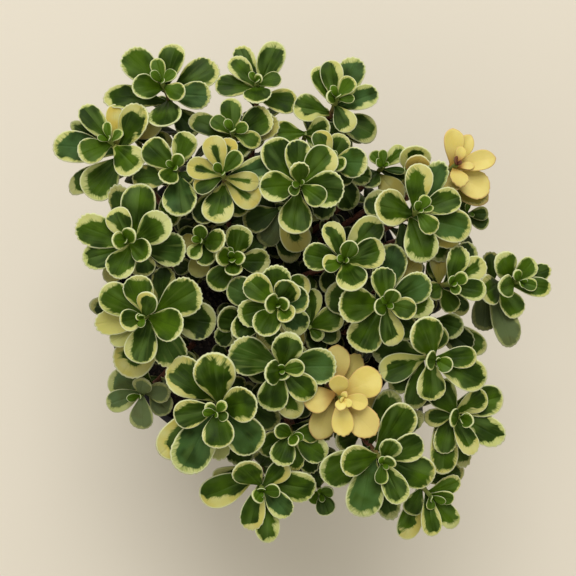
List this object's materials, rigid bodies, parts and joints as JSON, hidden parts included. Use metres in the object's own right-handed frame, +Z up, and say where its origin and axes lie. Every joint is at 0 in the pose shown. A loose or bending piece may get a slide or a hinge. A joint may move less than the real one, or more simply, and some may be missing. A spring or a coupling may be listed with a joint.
{
  "type": "potted variegated two-row stonecrop",
  "caption": "Bushy succulent with fleshy, toothed, cream-edged green leaves in rosettes, some all yellow, in a round black nursery pot.",
  "frame": {"origin": "centre of the pot's underside, on the surface it stands on", "axes": "+Z up, +X to the right and +Y away in a view from the front"},
  "size_m": [0.2018, 0.201, 0.169],
  "materials": {
    "pot": "black moulded plastic, faintly mottled",
    "potting_mix": "dark peaty potting mix with pale grains",
    "green_leaf": "waxy green leaf with a cream-yellow edge, on a red-brown stem",
    "yellow_leaf": "waxy all-yellow leaf with a pink-orange edge"
  },
  "bodies": {
    "root": {"pot": "pot", "soil": "potting_mix", "shoot_01": "green_leaf", "shoot_02": "green_leaf", "shoot_03": "green_leaf", "shoot_04": "green_leaf", "shoot_05": "green_leaf", "shoot_06": "green_leaf", "shoot_07": "green_leaf", "shoot_08": "green_leaf", "shoot_09": "green_leaf", "shoot_10": "green_leaf", "shoot_11": "green_leaf", "shoot_12": "green_leaf", "yellow_shoot_1": "yellow_leaf", "shoot_13": "green_leaf", "shoot_14": "green_leaf", "shoot_15": "green_leaf", "shoot_16": "green_leaf", "shoot_17": "green_leaf", "shoot_18": "green_leaf", "shoot_19": "green_leaf", "shoot_20": "green_leaf", "shoot_21": "green_leaf", "shoot_22": "green_leaf", "yellow_shoot_2": "yellow_leaf", "shoot_23": "green_leaf", "shoot_24": "green_leaf", "shoot_25": "green_leaf", "shoot_26": "green_leaf", "shoot_27": "green_leaf", "shoot_28": "green_leaf", "shoot_29": "green_leaf", "shoot_30": "green_leaf", "shoot_31": "green_leaf", "shoot_32": "green_leaf", "shoot_33": "green_leaf", "shoot_34": "green_leaf", "shoot_35": "green_leaf", "shoot_36": "green_leaf", "shoot_37": "green_leaf", "shoot_38": "green_leaf", "shoot_39": "green_leaf"}
  },
  "joints": []
}
